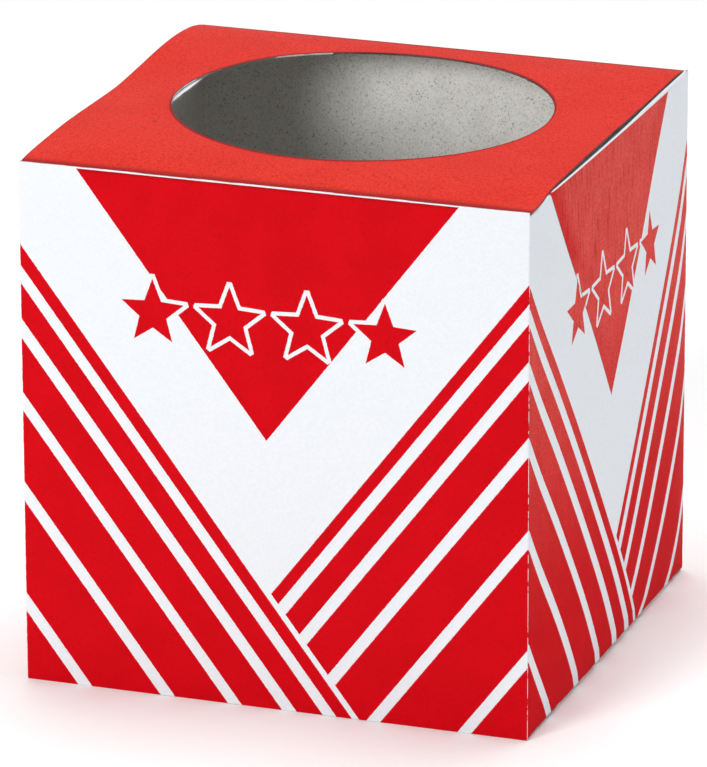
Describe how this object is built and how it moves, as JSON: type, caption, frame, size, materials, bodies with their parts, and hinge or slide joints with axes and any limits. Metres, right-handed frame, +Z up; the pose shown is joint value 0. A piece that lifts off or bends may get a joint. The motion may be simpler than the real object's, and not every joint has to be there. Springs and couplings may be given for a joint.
{
  "type": "raffle box",
  "caption": "Square folding carton for drawing raffle tickets, with a round hand hole in its tuck-in lid, a tuck-in bottom and a striped print.",
  "frame": {"origin": "middle of the base, on the surface that the box stands on", "axes": "+Z up, -Y out of the front wall, over which the lid tucks in, +X to the right of a viewer who faces the front"},
  "size_m": [0.2, 0.195, 0.208],
  "materials": {
    "printed_board": "satin",
    "unprinted_board": "matte",
    "dried_glue": "satin"
  },
  "bodies": {
    "walls": {"front_wall": "printed_board", "right_wall": "printed_board", "back_wall": "printed_board", "left_wall": "printed_board", "glue_flap": "unprinted_board", "glue_line": "dried_glue"},
    "lid": {"lid": "printed_board"},
    "lid_tuck": {"lid_tuck_flap": "printed_board"},
    "lid_dust_right": {"lid_dust_flap_right": "unprinted_board"},
    "lid_dust_left": {"lid_dust_flap_left": "unprinted_board"},
    "bottom": {"bottom_panel": "printed_board"},
    "bottom_tuck": {"bottom_tuck_flap": "printed_board"},
    "bottom_dust_right": {"bottom_dust_flap_right": "unprinted_board"},
    "bottom_dust_left": {"bottom_dust_flap_left": "unprinted_board"}
  },
  "joints": [
    {"name": "lid_hinge", "type": "hinge", "parent": "walls", "child": "lid", "pos_m": [0, 0.0975, 0.205], "axis": [-1, 0, 0], "range_deg": [0, 250]},
    {"name": "lid_tuck_fold", "type": "hinge", "parent": "lid", "child": "lid_tuck", "pos_m": [0, -0.0967, 0.205], "axis": [-1, 0, 0], "range_deg": [0, 62.5]},
    {"name": "lid_dust_right_fold", "type": "hinge", "parent": "walls", "child": "lid_dust_right", "pos_m": [0.1, 0, 0.2042], "axis": [0, 1, 0], "range_deg": [0, 125]},
    {"name": "lid_dust_left_fold", "type": "hinge", "parent": "walls", "child": "lid_dust_left", "pos_m": [-0.1, 0, 0.2042], "axis": [0, -1, 0], "range_deg": [0, 125]},
    {"name": "bottom_hinge", "type": "hinge", "parent": "walls", "child": "bottom", "pos_m": [0, 0.0975, 0], "axis": [1, 0, 0], "range_deg": [0, 180]},
    {"name": "bottom_tuck_fold", "type": "hinge", "parent": "bottom", "child": "bottom_tuck", "pos_m": [0, -0.0967, 0], "axis": [1, 0, 0], "range_deg": [0, 45]},
    {"name": "bottom_dust_right_fold", "type": "hinge", "parent": "walls", "child": "bottom_dust_right", "pos_m": [0.1, 0, 0.0008], "axis": [0, -1, 0], "range_deg": [0, 90]},
    {"name": "bottom_dust_left_fold", "type": "hinge", "parent": "walls", "child": "bottom_dust_left", "pos_m": [-0.1, 0, 0.0008], "axis": [0, 1, 0], "range_deg": [0, 90]}
  ],
  "couplings": [
    {"joint": "lid_tuck_fold", "follows": "lid_hinge", "ratio": 0.25},
    {"joint": "lid_dust_right_fold", "follows": "lid_hinge", "ratio": 0.5},
    {"joint": "lid_dust_left_fold", "follows": "lid_hinge", "ratio": 0.5},
    {"joint": "bottom_tuck_fold", "follows": "bottom_hinge", "ratio": 0.25},
    {"joint": "bottom_dust_right_fold", "follows": "bottom_hinge", "ratio": 0.5},
    {"joint": "bottom_dust_left_fold", "follows": "bottom_hinge", "ratio": 0.5}
  ]
}
